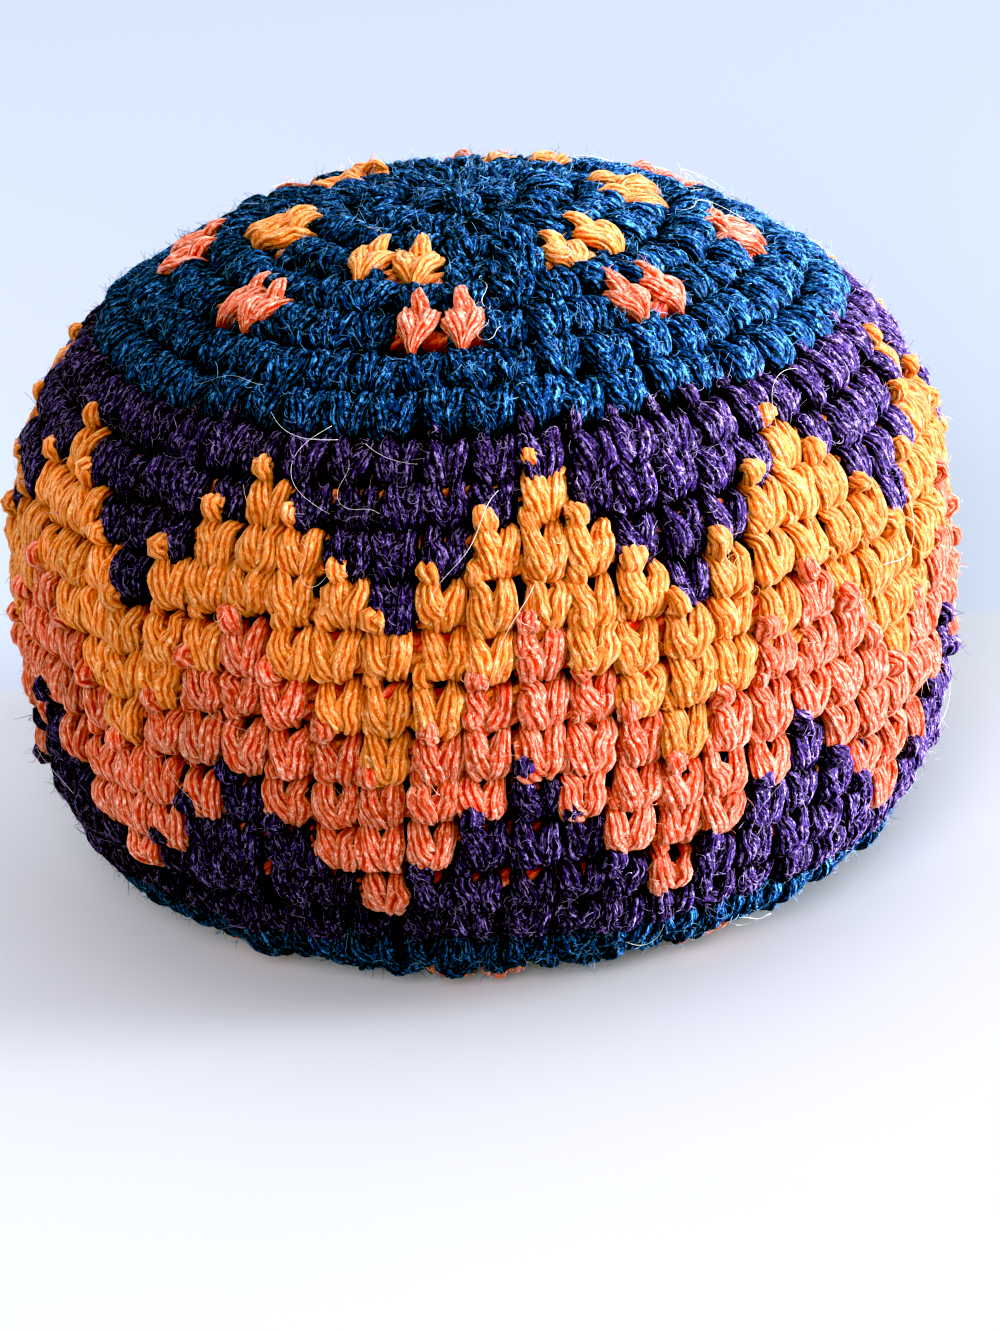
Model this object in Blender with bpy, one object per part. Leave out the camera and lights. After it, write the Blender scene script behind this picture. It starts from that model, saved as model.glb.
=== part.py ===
"""Crocheted footbag at rest, in metres, +Z up, with the middle of its flat underside at the origin.

The shell is one crocheted skin, worked in rounds from the crown down to the base, in four yarns.
Each colour area of the skin is a solid of its own, one stitch to a raised cell. Inside lie a thin
liner with its gathered, tied neck and the pellets that fill it.
"""
import math

import bmesh
import bpy
import numpy as np
from mathutils import Vector

# Outline of the bag
BAG_RADIUS = 0.0285
CROWN_RISE = 0.0214
BASE_DROP = 0.0230
REST_FLAT_DEPTH = 0.0008
CROWN_SQUARENESS = 2.24
BASE_SQUARENESS = 3.4
PROFILE_SAMPLES = 4001

# Crocheted skin
FABRIC_THICKNESS = 0.0026
STITCH_RELIEF = 0.0007
PIECE_GAP = 0.0003
START_RING_RADIUS = 0.0006
CLOSING_RING_RADIUS = 0.0026

# Stitches in each plain round between the pole and the zigzag rows, the pole's round first
PANEL_STITCHES = (6, 12, 18, 24, 32, 40, 45, 50)
CHART_STITCHES = 60

# Zigzag rows: each zigzag is three rows high and has a peak every six stitches
ZIGZAG_ROWS = 3
ZIGZAG_REPEAT = 2 * ZIGZAG_ROWS
ZIGZAG_BANDS = 3
CHART_ROWS = ZIGZAG_BANDS * ZIGZAG_ROWS + 2
CHART_PHASE = math.radians(6.7)
LEAN_PER_ROUND = -0.107

# Two-stitch motifs on the crown and the base: round from the pole, how many, angle of the first
# the rounds and angles are the same on both
GOLD_MOTIF_ROUND = 3
GOLD_MOTIF_COUNT = 6
GOLD_MOTIF_PHASE = math.radians(-19.5)
CORAL_MOTIF_ROUND = 5
CORAL_MOTIF_COUNT = 8
CORAL_MOTIF_PHASE = math.radians(-4.8)
MOTIF_THICKNESS = 0.0013
MOTIF_EDGE_DEPTH = 0.0005
MOTIF_TOP_DEPTH = 0.0001
MOTIF_REST_CLEARANCE = 0.0001
CUT_OVERRUN = 0.001

# Outline of one motif stitch, point down with its loop at the upper left,
# as shares of the stitch's width and of the round's height
STITCH_OUTLINE_SHARES = (
    (0.00, -0.52), (0.38, -0.36), (0.58, 0.02), (0.38, 0.34), (0.04, 0.30),
    (-0.12, 0.78), (-0.38, 0.74), (-0.58, 0.04), (-0.38, -0.34),
)

# Liner with a gathered neck, its tie, and the pellets
LINER_WALL = 0.0004
LINER_SHOULDER_RADIUS = 0.0150
LINER_NECK_RADIUS = 0.0026
LINER_NECK_HEIGHT = 0.0050
LINER_FOLD_RADIUS = 0.0014
LINER_SEGMENTS = 24
LINER_RINGS = 12
LINER_DIP_RINGS = 4
TIE_CORD_RADIUS = 0.0005
TIE_SEGMENTS = 16
TIE_CORD_SIDES = 6
FILL_MOUND_RISE = 0.0010
FILL_MOUND_RINGS = 4

# Inner face of a panel: fewer segments in each ring towards the pole
PANEL_LINING_SEGMENTS = (60, 36, 24, 12)

SMOOTH_ANGLE = math.radians(50.0)

# Yarns and inner materials: linear colour, roughness
YARNS = {
    "blue": ((0.010, 0.075, 0.190, 1.0), 0.85),
    "purple": ((0.045, 0.020, 0.090, 1.0), 0.85),
    "gold": ((0.820, 0.330, 0.055, 1.0), 0.80),
    "coral": ((0.800, 0.170, 0.090, 1.0), 0.80),
    "liner": ((0.720, 0.730, 0.740, 1.0), 0.45),
    "tie": ((0.650, 0.620, 0.540, 1.0), 0.80),
    "pellets": ((0.560, 0.570, 0.590, 1.0), 0.40),
}
BAND_NAMES = ("upper_purple_band", "gold_zigzag_band", "coral_zigzag_band", "lower_purple_band")
BAND_YARNS = ("purple", "gold", "coral", "purple")


def clear_scene():
    for old in list(bpy.data.objects):
        bpy.data.objects.remove(old, do_unlink=True)


def profile_table():
    """Radius, height and arc length along the outline, from the top pole to the bottom one."""
    turn = np.linspace(0.0, math.pi, PROFILE_SAMPLES)
    upper = turn <= math.pi / 2
    power = 2 / np.where(upper, CROWN_SQUARENESS, BASE_SQUARENESS)
    rise = np.where(upper, CROWN_RISE, BASE_DROP)
    radius = BAG_RADIUS * np.abs(np.sin(turn)) ** power
    height = rise * np.sign(np.cos(turn)) * np.abs(np.cos(turn)) ** power
    steps = np.hypot(np.diff(radius), np.diff(height))
    return radius, height, np.concatenate(([0.0], np.cumsum(steps)))


PROFILE_RADIUS, PROFILE_HEIGHT, PROFILE_ARC = profile_table()
ARC_TOTAL = PROFILE_ARC[-1]
PANEL_ROUNDS = len(PANEL_STITCHES)
ROUND_COUNT = 2 * PANEL_ROUNDS + CHART_ROWS
ROUND_PITCH = (ARC_TOTAL - START_RING_RADIUS - CLOSING_RING_RADIUS) / ROUND_COUNT
CENTRE_HEIGHT = BASE_DROP - REST_FLAT_DEPTH
LINER_DEPTH = FABRIC_THICKNESS + PIECE_GAP
FILL_DEPTH = LINER_DEPTH + LINER_WALL + PIECE_GAP
NECK_TOP = CENTRE_HEIGHT + CROWN_RISE - FABRIC_THICKNESS - PIECE_GAP
NECK_ROOT = NECK_TOP - LINER_NECK_HEIGHT
SHOULDER_ARC = float(np.interp(LINER_SHOULDER_RADIUS, PROFILE_RADIUS[:PROFILE_SAMPLES // 2],
                               PROFILE_ARC[:PROFILE_SAMPLES // 2]))
BODY_ARCS = np.linspace(SHOULDER_ARC, ARC_TOTAL, LINER_RINGS)


def round_edge(index):
    """Arc length of the upper edge of a round, counted from the crown's centre."""
    return START_RING_RADIUS + index * ROUND_PITCH


def round_middle(index):
    return (round_edge(index) + round_edge(index + 1)) / 2


def skin_place(along, depth):
    """Radius and height of a point under the outline at an arc length from the top pole."""
    radius = float(np.interp(along, PROFILE_ARC, PROFILE_RADIUS))
    height = float(np.interp(along, PROFILE_ARC, PROFILE_HEIGHT))
    rise, power = (CROWN_RISE, CROWN_SQUARENESS) if height >= 0 else (BASE_DROP, BASE_SQUARENESS)
    slope_out = (radius / BAG_RADIUS) ** (power - 1) / BAG_RADIUS
    slope_up = math.copysign((abs(height) / rise) ** (power - 1), height) / rise
    steepness = math.hypot(slope_out, slope_up)
    radius -= depth * slope_out / steepness
    height -= depth * slope_up / steepness
    return max(radius, 0.0), height + CENTRE_HEIGHT


def skin_point(along, angle, depth, lowest=0.0):
    """A point of the skin; angle 0 is the front, and nothing goes under `lowest`."""
    radius, height = skin_place(along, depth)
    return Vector((radius * math.sin(angle), -radius * math.cos(angle), max(height, lowest)))


def add_material(part, yarn):
    colour, roughness = YARNS[yarn]
    material = bpy.data.materials.new(part.name + "_" + yarn)
    material.use_nodes = True
    shader = material.node_tree.nodes["Principled BSDF"]
    shader.inputs["Base Color"].default_value = colour
    shader.inputs["Roughness"].default_value = roughness
    shader.inputs["Metallic"].default_value = 0.0
    part.data.materials.append(material)


def finish_part(mesh_data, name, yarn):
    """Turn a closed bmesh into a named, smooth-shaded object with its own material."""
    bmesh.ops.recalc_face_normals(mesh_data, faces=mesh_data.faces)
    mesh = bpy.data.meshes.new(name)
    mesh_data.to_mesh(mesh)
    mesh_data.free()
    mesh.shade_smooth()
    mesh.set_sharp_from_angle(angle=SMOOTH_ANGLE)
    part = bpy.data.objects.new(name, mesh)
    bpy.context.scene.collection.objects.link(part)
    add_material(part, yarn)
    return part


def mark_cutter(cutter):
    cutter.hide_render = True
    cutter.display_type = "WIRE"


def add_boolean(part, operation, cutter=None, cutters=None):
    boolean = part.modifiers.new(operation.lower(), "BOOLEAN")
    boolean.operation = operation
    boolean.solver = "EXACT"
    if cutters is None:
        boolean.object = cutter
    else:
        boolean.operand_type = "COLLECTION"
        boolean.collection = cutters


# Rings of points, and the triangles between two of them

def add_ring(mesh_data, along, depth, count, phase=0.0):
    """A ring of (angle, vertex) pairs round the bag."""
    angles = [phase + math.tau * step / count for step in range(count)]
    return [(angle, mesh_data.verts.new(skin_point(along, angle, depth))) for angle in angles]


def zip_rings(mesh_data, first, second):
    """Join two rings whose numbers of points may differ with one strip of triangles."""
    offsets = [abs(math.remainder(angle - first[0][0], math.tau)) for angle, _ in second]
    start = offsets.index(min(offsets))
    turned = second[start:] + second[:start]
    first_at = second_at = 0
    while first_at < len(first) or second_at < len(turned):
        first_next = (first_at + 0.5) / len(first)
        second_next = (second_at + 0.5) / len(turned)
        here = first[first_at % len(first)][1]
        there = turned[second_at % len(turned)][1]
        if second_at == len(turned) or (first_at < len(first) and first_next <= second_next):
            first_at += 1
            mesh_data.faces.new((here, first[first_at % len(first)][1], there))
        else:
            second_at += 1
            mesh_data.faces.new((here, turned[second_at % len(turned)][1], there))


def close_ring(mesh_data, ring, point):
    """Fan a ring to one point at the pole."""
    pole = mesh_data.verts.new(point)
    for here, there in zip(ring, ring[1:] + ring[:1]):
        mesh_data.faces.new((here[1], there[1], pole))


# Crown and base panels: plain rounds round a pole

def build_panel(name, yarn, is_crown):
    """Each round is a ring of raised stitch middles between two sunken seams."""
    mesh_data = bmesh.new()
    border = round_edge(PANEL_ROUNDS if is_crown else PANEL_ROUNDS + CHART_ROWS)
    towards_pole = -1.0 if is_crown else 1.0
    border += towards_pole * PIECE_GAP / 2
    pole = 0.0 if is_crown else ARC_TOTAL
    outer_border = add_ring(mesh_data, border, STITCH_RELIEF, CHART_STITCHES)
    ring = outer_border
    for place in reversed(range(PANEL_ROUNDS)):
        index = place if is_crown else ROUND_COUNT - 1 - place
        stitches = PANEL_STITCHES[place]
        middle = add_ring(mesh_data, round_middle(index), 0.0, stitches, math.pi / stitches)
        zip_rings(mesh_data, ring, middle)
        inner_edge = round_edge(index if is_crown else index + 1)
        ring = add_ring(mesh_data, inner_edge, STITCH_RELIEF, stitches)
        zip_rings(mesh_data, middle, ring)
    close_ring(mesh_data, ring, skin_point(pole, 0.0, STITCH_RELIEF))
    lining = outer_border
    for step, segments in enumerate(PANEL_LINING_SEGMENTS):
        along = border + (pole - border) * step / len(PANEL_LINING_SEGMENTS)
        inner_ring = add_ring(mesh_data, along, FABRIC_THICKNESS, segments)
        zip_rings(mesh_data, lining, inner_ring)
        lining = inner_ring
    close_ring(mesh_data, lining, skin_point(pole, 0.0, FABRIC_THICKNESS))
    return finish_part(mesh_data, name, yarn)


# Zigzag bands: cells of a stitch each

def chart_band(row, column):
    """Which band a stitch of the chart belongs to, from 0 at the top to 3 at the bottom."""
    if row < 1:
        return 0
    if row > ZIGZAG_BANDS * ZIGZAG_ROWS:
        return ZIGZAG_BANDS
    band, step = divmod(row - 1, ZIGZAG_ROWS)
    off_peak = abs((column + ZIGZAG_ROWS) % ZIGZAG_REPEAT - ZIGZAG_ROWS)
    return band + 1 if off_peak <= step else band


def chart_angle(row, column):
    """Angle of a place in the chart, whose columns lean a little from row to row."""
    lean = LEAN_PER_ROUND * (row - (CHART_ROWS - 1) / 2)
    return CHART_PHASE + math.tau * (column + lean) / CHART_STITCHES


def build_band(band):
    """All cells of one band, drawn back by half a gap along its own border."""
    mesh_data = bmesh.new()
    corners = {}

    def holds(row, column):
        return 0 <= row < CHART_ROWS and chart_band(row, column) == band

    def corner(row, column, depth):
        """The vertex at the upper left of a cell, moved towards the band's own cells."""
        key = (row, column % CHART_STITCHES, depth)
        if key not in corners:
            pull_down = pull_right = 0
            for down in (-1, 1):
                for right in (-1, 1):
                    if holds(row + (down - 1) // 2, column + (right - 1) // 2):
                        pull_down += down
                        pull_right += right
            along = round_edge(PANEL_ROUNDS + row) + np.sign(pull_down) * PIECE_GAP / 2
            radius, _ = skin_place(along, depth)
            angle = chart_angle(row - 0.5, column - 0.5) + np.sign(pull_right) * PIECE_GAP / 2 / radius
            corners[key] = mesh_data.verts.new(skin_point(along, angle, depth))
        return corners[key]

    for row in range(CHART_ROWS):
        for column in range(CHART_STITCHES):
            if not holds(row, column):
                continue
            places = ((row, column), (row + 1, column), (row + 1, column + 1), (row, column + 1))
            outer = [corner(*place, STITCH_RELIEF) for place in places]
            inner = [corner(*place, FABRIC_THICKNESS) for place in places]
            middle_along = round_middle(PANEL_ROUNDS + row)
            middle = mesh_data.verts.new(skin_point(middle_along, chart_angle(row, column), 0.0))
            neighbours = ((row, column - 1), (row + 1, column), (row, column + 1), (row - 1, column))
            for side, neighbour in enumerate(neighbours):
                after = (side + 1) % len(places)
                mesh_data.faces.new((outer[side], outer[after], middle))
                if not holds(*neighbour):
                    mesh_data.faces.new((outer[after], outer[side], inner[side], inner[after]))
            mesh_data.faces.new(inner[::-1])
    return finish_part(mesh_data, BAND_NAMES[band], BAND_YARNS[band])


# Motifs: pairs of contrasting stitches seated in pockets of the panels

def grown_outline(points, distance):
    """The outline with every corner moved outwards by about the same distance."""
    grown = []
    for index, here in enumerate(points):
        before = Vector(points[index - 1])
        after = Vector(points[(index + 1) % len(points)])
        along = (after - before).normalized()
        grown.append(Vector(here) + Vector((along.y, -along.x)) * distance)
    return grown


def build_lobe(name, yarn, round_index, angle, width, pocket):
    """One motif stitch, or the larger shape that cuts its pocket."""
    if pocket:
        grow, edge, top, floor = PIECE_GAP, -CUT_OVERRUN, -CUT_OVERRUN, MOTIF_THICKNESS + PIECE_GAP
        lowest = -CUT_OVERRUN
    else:
        grow, edge, top, floor = 0.0, MOTIF_EDGE_DEPTH, MOTIF_TOP_DEPTH, MOTIF_THICKNESS
        lowest = MOTIF_REST_CLEARANCE
    mesh_data = bmesh.new()
    centre = round_middle(round_index)
    centre_radius, _ = skin_place(centre, 0.0)

    def place(x, y, depth):
        return mesh_data.verts.new(skin_point(centre - y, angle + x / centre_radius, depth, lowest))

    outline = [(x * width, y * ROUND_PITCH) for x, y in STITCH_OUTLINE_SHARES]
    points = grown_outline(outline, grow)
    upper = [place(x, y, edge) for x, y in points]
    lower = [place(x, y, floor) for x, y in points]
    raised = place(0.0, 0.0, top)
    sunk = place(0.0, 0.0, floor)
    for index in range(len(points)):
        after = (index + 1) % len(points)
        mesh_data.faces.new((upper[index], upper[after], raised))
        mesh_data.faces.new((upper[after], upper[index], lower[index], lower[after]))
        mesh_data.faces.new((lower[after], lower[index], sunk))
    return finish_part(mesh_data, name, yarn)


def build_motif_ring(panel_name, yarn, place, count, phase, pockets):
    """Motifs evenly round a panel, each two stitches wide, and the cutters of their pockets."""
    is_crown = panel_name == "crown"
    round_index = place if is_crown else ROUND_COUNT - 1 - place
    stitch_angle = math.tau / PANEL_STITCHES[place]
    radius, _ = skin_place(round_middle(round_index), 0.0)
    width = radius * stitch_angle
    for number in range(count):
        centre = phase + math.tau * number / count
        name = panel_name + "_" + yarn + "_motif_" + str(number + 1)
        left = centre - stitch_angle / 2
        right = centre + stitch_angle / 2
        motif = build_lobe(name, yarn, round_index, left, width, pocket=False)
        partner = build_lobe(name + "_right_half", yarn, round_index, right, width, pocket=False)
        mark_cutter(partner)
        add_boolean(motif, "UNION", cutter=partner)
        for side, angle in (("left", left), ("right", right)):
            cutter = build_lobe(name + "_pocket_" + side, yarn, round_index, angle, width, pocket=True)
            mark_cutter(cutter)
            pockets.objects.link(cutter)


def build_motifs(panel_name, panel):
    pockets = bpy.data.collections.new(panel_name + "_pockets")
    bpy.context.scene.collection.children.link(pockets)
    build_motif_ring(panel_name, "gold", GOLD_MOTIF_ROUND, GOLD_MOTIF_COUNT, GOLD_MOTIF_PHASE, pockets)
    build_motif_ring(panel_name, "coral", CORAL_MOTIF_ROUND, CORAL_MOTIF_COUNT, CORAL_MOTIF_PHASE, pockets)
    add_boolean(panel, "DIFFERENCE", cutters=pockets)


# Inside: liner, tie and filling, turned round the vertical axis

def turn_outline(outline, segments, name, material):
    """Revolve (radius, height) points; a point on the axis becomes one vertex."""
    mesh_data = bmesh.new()
    angles = [math.tau * step / segments for step in range(segments)]
    rings = []
    for radius, height in outline:
        if radius > 0.0:
            spots = [(radius * math.sin(a), -radius * math.cos(a), height) for a in angles]
            rings.append([mesh_data.verts.new(spot) for spot in spots])
        else:
            rings.append([mesh_data.verts.new((0.0, 0.0, height))] * segments)
    for first, second in zip(rings, rings[1:] + rings[:1]):
        for step in range(segments):
            after = (step + 1) % segments
            loop = (first[step], second[step], second[after], first[after])
            corners = [vert for index, vert in enumerate(loop) if vert is not loop[index - 1]]
            if len(corners) > 2:
                mesh_data.faces.new(corners)
    return finish_part(mesh_data, name, material)


def skin_run(depth, arcs):
    """Places under the skin at each of some arc lengths."""
    return [skin_place(along, depth) for along in arcs]


def liner_face(inset):
    """One face of the liner: its neck, the dip round it, then the body down to the base."""
    body = skin_run(LINER_DEPTH + inset, BODY_ARCS)
    shoulder_radius, shoulder_height = body[0]
    foot_radius = LINER_NECK_RADIUS + LINER_FOLD_RADIUS
    foot_height = NECK_ROOT - inset
    neck_radius = LINER_NECK_RADIUS - inset
    neck = [(neck_radius, NECK_TOP), (neck_radius, NECK_ROOT + LINER_FOLD_RADIUS)]
    dip = []
    for share in np.linspace(0.0, 1.0, LINER_DIP_RINGS, endpoint=False):
        rise = (1.0 - math.cos(math.pi * share)) / 2
        dip.append((foot_radius + (shoulder_radius - foot_radius) * share,
                    foot_height + (shoulder_height - foot_height) * rise))
    return neck + dip + body


def build_liner():
    """A thin pouch whose top is drawn in to an open neck."""
    outline = liner_face(0.0) + liner_face(LINER_WALL)[::-1]
    turn_outline(outline, LINER_SEGMENTS, "inner_liner", "liner")


def build_tie():
    """The cord ring that holds the liner's neck together."""
    ring_radius = LINER_NECK_RADIUS + PIECE_GAP + TIE_CORD_RADIUS
    ring_height = (NECK_TOP + NECK_ROOT + LINER_FOLD_RADIUS) / 2
    turns = [math.tau * side / TIE_CORD_SIDES for side in range(TIE_CORD_SIDES)]
    outline = []
    for turn in turns:
        outline.append((ring_radius + TIE_CORD_RADIUS * math.cos(turn),
                        ring_height + TIE_CORD_RADIUS * math.sin(turn)))
    turn_outline(outline, TIE_SEGMENTS, "liner_tie", "tie")


def build_filling():
    """The settled pellets: they fill the liner up to a low mound under its neck."""
    mound_top = NECK_ROOT - LINER_WALL - PIECE_GAP
    mound_edge = mound_top - FILL_MOUND_RISE
    arcs = np.linspace(0.0, ARC_TOTAL, PROFILE_SAMPLES)
    heights = np.array([skin_place(along, FILL_DEPTH)[1] for along in arcs])
    edge_arc = float(np.interp(-mound_edge, -heights, arcs))
    side = skin_run(FILL_DEPTH, [edge_arc] + [along for along in BODY_ARCS if along > edge_arc])
    edge_radius = side[0][0]
    mound = []
    for share in np.linspace(0.0, 1.0, FILL_MOUND_RINGS, endpoint=False):
        mound.append((edge_radius * share, mound_top - FILL_MOUND_RISE * share * share))
    turn_outline(mound + side, LINER_SEGMENTS, "pellet_filling", "pellets")


def main():
    clear_scene()
    crown = build_panel("crown_panel", "blue", is_crown=True)
    base = build_panel("base_panel", "blue", is_crown=False)
    for band in range(len(BAND_NAMES)):
        build_band(band)
    build_motifs("crown", crown)
    build_motifs("base", base)
    build_liner()
    build_tie()
    build_filling()


main()
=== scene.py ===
"""Looks of the crocheted footbag: every stitch as plied yarn, with its fibres, liner and pellets.

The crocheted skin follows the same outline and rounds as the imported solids, and the same stitch
counts except in the two joining rounds. Each stitch is two plied legs in a V and a top loop, laid
on that outline and bent with it.
"""
import math
from collections import namedtuple

import bpy
import numpy as np
from mathutils import Matrix, Vector


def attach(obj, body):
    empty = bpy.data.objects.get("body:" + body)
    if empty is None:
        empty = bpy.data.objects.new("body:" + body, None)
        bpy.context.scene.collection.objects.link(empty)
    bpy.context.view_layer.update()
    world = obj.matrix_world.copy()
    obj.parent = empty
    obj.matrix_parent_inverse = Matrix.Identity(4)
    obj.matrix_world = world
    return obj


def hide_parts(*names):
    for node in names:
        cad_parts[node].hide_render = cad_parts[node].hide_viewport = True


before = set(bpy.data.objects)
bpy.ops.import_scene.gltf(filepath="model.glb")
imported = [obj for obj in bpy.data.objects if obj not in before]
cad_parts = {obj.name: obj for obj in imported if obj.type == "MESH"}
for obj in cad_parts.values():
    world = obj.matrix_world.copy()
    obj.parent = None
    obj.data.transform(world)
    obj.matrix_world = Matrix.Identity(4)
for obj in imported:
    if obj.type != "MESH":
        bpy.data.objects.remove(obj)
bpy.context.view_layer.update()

# Outline of the bag, as the solids have it
BAG_RADIUS = 0.0285
CROWN_RISE = 0.0214
BASE_DROP = 0.0230
REST_FLAT_DEPTH = 0.0008
CROWN_SQUARENESS = 2.24
BASE_SQUARENESS = 3.4
PROFILE_SAMPLES = 4001
START_RING_RADIUS = 0.0006
CLOSING_RING_RADIUS = 0.0026

# Rounds and stitches
PANEL_STITCHES = (6, 12, 18, 24, 32, 40, 45, 50)
JOINING_STITCHES = 55
CHART_STITCHES = 60
ZIGZAG_ROWS = 3
ZIGZAG_REPEAT = 2 * ZIGZAG_ROWS
ZIGZAG_BANDS = 3
CHART_ROWS = ZIGZAG_BANDS * ZIGZAG_ROWS + 2
CHART_PHASE = math.radians(6.7)
PANEL_STAGGER = 0.37
LEAN_PER_ROUND = -0.107
PANEL_ROUNDS = len(PANEL_STITCHES)
ROUND_COUNT = 2 * PANEL_ROUNDS + CHART_ROWS

# Motifs of each panel: yarn, round from the pole, how many, angle of the first
PANEL_MOTIFS = (
    ("gold", 3, 6, math.radians(-19.5)),
    ("coral", 5, 8, math.radians(-4.8)),
)

# Yarn paths of one stitch: x in stitch widths to the right, y in round heights up, z in stitch
# widths outwards, then the yarn's half width and half thickness in stitch widths
LEFT_LEG = (
    (-0.29, 0.52, -0.62, 0.14, 0.14),
    (-0.29, 0.43, -0.36, 0.19, 0.17),
    (-0.25, 0.24, -0.20, 0.245, 0.20),
    (-0.195, 0.0, -0.155, 0.295, 0.205),
    (-0.135, -0.24, -0.175, 0.305, 0.20),
    (-0.09, -0.41, -0.32, 0.26, 0.18),
    (-0.06, -0.51, -0.62, 0.19, 0.15),
)
RIGHT_LEG = (
    (0.27, 0.52, -0.62, 0.14, 0.13),
    (0.275, 0.43, -0.36, 0.18, 0.16),
    (0.255, 0.24, -0.21, 0.23, 0.185),
    (0.22, 0.0, -0.175, 0.27, 0.195),
    (0.17, -0.24, -0.19, 0.275, 0.19),
    (0.12, -0.41, -0.33, 0.235, 0.17),
    (0.09, -0.51, -0.62, 0.18, 0.14),
)
TOP_LOOP = (
    (-0.27, 0.48, -0.55, 0.12, 0.13),
    (-0.29, 0.58, -0.34, 0.17, 0.16),
    (-0.31, 0.69, -0.25, 0.18, 0.165),
    (-0.33, 0.80, -0.33, 0.15, 0.15),
    (-0.34, 0.89, -0.56, 0.10, 0.11),
)
# The same loop where it lies over the next round's yarn of another colour
RAISED_LOOP = (
    (-0.26, 0.46, -0.42, 0.15, 0.15),
    (-0.27, 0.55, -0.12, 0.215, 0.19),
    (-0.285, 0.66, 0.02, 0.24, 0.20),
    (-0.30, 0.77, -0.09, 0.205, 0.18),
    (-0.31, 0.85, -0.42, 0.13, 0.13),
)
# The loop of a motif stitch on the crown, pulled up into a pointed ear
EAR_LOOP = (
    (0.00, 0.16, -0.40, 0.20, 0.15),
    (-0.02, 0.38, -0.06, 0.24, 0.17),
    (-0.08, 0.62, 0.05, 0.17, 0.14),
    (-0.14, 0.82, 0.04, 0.10, 0.09),
    (-0.20, 0.98, -0.04, 0.035, 0.035),
)
# How much of a round's height the stitches of the crown take up, and how much wider they spread
CROWN_STITCH_HEIGHT = 0.98
CROWN_STITCH_SPREAD = 1.12
# Motif stitches are longer, narrow towards their foot, and stand a little higher
MOTIF_STITCH_HEIGHT = 1.12
MOTIF_PINCH = 0.74
MOTIF_PINCH_REACH = 0.5
MOTIF_LIFT = 0.07
# The three tubes of a stitch: path, rings along it, plies, twist over its length
STITCH_TUBES = (
    (LEFT_LEG, 16, 10, math.radians(-75)),
    (RIGHT_LEG, 16, 9, math.radians(-45)),
    (TOP_LOOP, 10, 7, math.radians(-60)),
)
SIDES_PER_PLY = 3
PLY_GROOVE_SHARE = 0.21
GROOVE_UNEVENNESS = 0.5
PLY_UNEVENNESS = 0.10
LUMP_SHARE = 0.09
NOISE_STEP = 3
NOISE_SPREAD = 1.73
WHOLE_STITCH_JITTER = (0.058, 0.046, 0.036)
CONTROL_JITTER = (0.028, 0.028, 0.022, 0.018, 0.012)
LOOP_SIZE_SPREAD = 0.22
RAISED_EVENNESS = 0.7
ROUND_WANDER = 0.00014
ROUND_WAVES = 7
FLOOR_SOFTNESS = 0.0006

# Starts of the random draws; rounds count on from the first two
WANDER_SEED, STITCH_SEED = 500, 1000
CLOSING_SEED, PELLET_SEED, HAIR_SEED, LINER_SEED, TIE_SEED = 31, 66, 77, 88, 99

# Maps of a tube: its cell's margin, as a share of the cell, and its caps' radius, as a share of the
# margin; on the yarn map, in millimetres, how far apart the tubes lie so that no two look alike
CELL_MARGIN = 0.08
CAP_RADIUS = 0.35
MILLIMETRES = 1000
YARN_MAP_STEP = (7.31, 3.17)

# Yarn behind each stitch: the stitch's own, and what is carried along in the zigzag rounds. Each
# has its height in round heights, its depth and its radius in stitch widths
OWN_YARN_BEHIND = (-0.16, 0.46, 0.27)
CARRIED_YARN_BEHIND = (0.20, 0.44, 0.22)
BEHIND_PLIES = 5
BEHIND_RINGS = 8
BEHIND_REACH = 0.54
BEHIND_TWIST = math.radians(-200)

# The last round of the base, drawn shut by its own yarn: folds, and points along each fold, as
# metres from the middle, depth, half width and half thickness
CLOSING_FOLDS = 9
CLOSING_PATH = (
    (0.0038, 0.0013, 0.00060, 0.00045),
    (0.0031, 0.0007, 0.00084, 0.00054),
    (0.0022, 0.0004, 0.00080, 0.00056),
    (0.0014, 0.0005, 0.00060, 0.00050),
    (0.0008, 0.0010, 0.00042, 0.00038),
    (0.0004, 0.0016, 0.00026, 0.00026),
)
CLOSING_RINGS = 18
CLOSING_PLIES = 8
CLOSING_TWIST = math.radians(-60)
CLOSING_SWIRL = 0.45
CLOSING_JITTER = 0.00005
CLOSING_ANGLE_JITTER = 0.07
CLOSING_SHADE_WIDTH = 0.0030

# Inner face of the crochet, behind the stitches
BACKING_OUTER_DEPTH = 0.0018
BACKING_INNER_DEPTH = 0.0025
BACKING_SEGMENTS = 180
BACKING_RINGS = 120
POLE_RADIUS = 0.0001

# Liner with its gathered neck, its tie and the pellets; depths are measured from the outline
LINER_DEPTH = 0.0031
LINER_FILM = 0.00012
LINER_SHOULDER_RADIUS = 0.0150
LINER_NECK_RADIUS = 0.0024
LINER_NECK_HEIGHT = 0.0050
LINER_FOLD_RADIUS = 0.0014
LINER_SEGMENTS = 288
LINER_NECK_RINGS = 14
LINER_DIP_RINGS = 30
LINER_BODY_RINGS = 70
LINER_PLEATS = 24
LINER_PLEAT_HEIGHT = 0.00016
LINER_PLEAT_REACH = 0.012
LINER_WOBBLE = ((0.5, 3.0, 1.0), (0.4, 7.0, 0.0))
LINER_CREASES = 9
LINER_CREASE_HEIGHT = 0.00005
LINER_CREASE_WAVES = (2, 15)
LINER_CREASE_PITCH = (150.0, 700.0)
LINER_FLAT_RINGS = 3
NECK_CLEARANCE = 0.0029
TIE_RADIUS = 0.0005
TIE_CENTRE_RADIUS = 0.0034
TIE_RINGS = 128
TIE_PLIES = 3
TIE_TURNS = 9
PELLET_SPACING = 0.0029
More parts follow.
